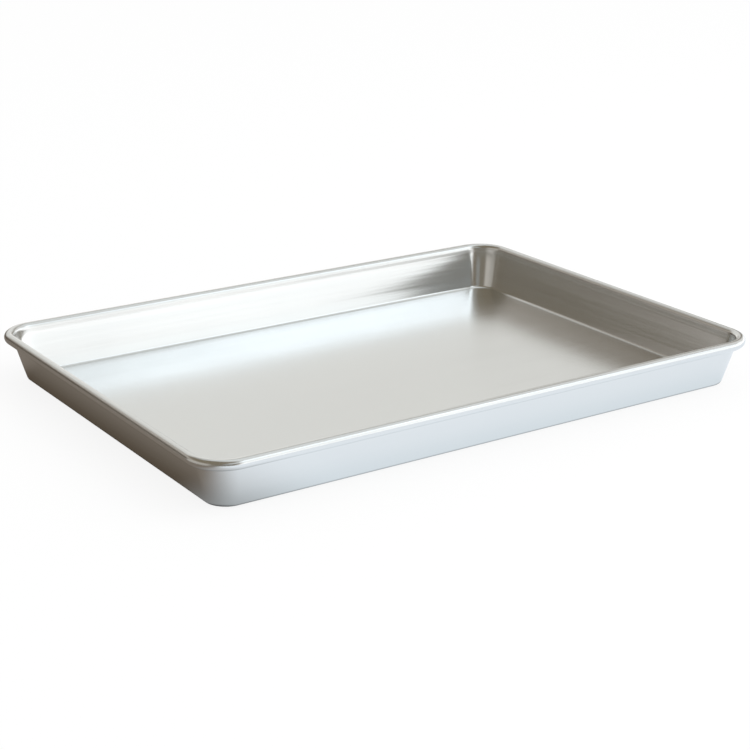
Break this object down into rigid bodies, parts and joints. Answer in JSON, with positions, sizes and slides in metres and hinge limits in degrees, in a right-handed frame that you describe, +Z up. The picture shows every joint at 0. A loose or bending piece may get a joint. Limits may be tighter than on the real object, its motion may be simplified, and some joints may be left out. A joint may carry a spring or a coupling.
{
  "type": "jelly roll pan",
  "caption": "Shallow rectangular baking pan of thin bare aluminium, with flared walls, round corners and a rim curled outward round a steel wire.",
  "frame": {"origin": "centre of the underside, on the surface that the pan stands on", "axes": "+X along the long side, +Y along the short side, +Z up out of the open top"},
  "size_m": [0.33, 0.239, 0.0265],
  "materials": {
    "sheet_aluminium": "bare mill-finish aluminium sheet, satin, with a faint rolling grain along the pan and fine draw lines on the walls",
    "wire_steel": "zinc-coated steel wire, dull grey"
  },
  "bodies": {
    "root": {"pan_shell": "sheet_aluminium", "rim_wire": "wire_steel"}
  },
  "joints": []
}
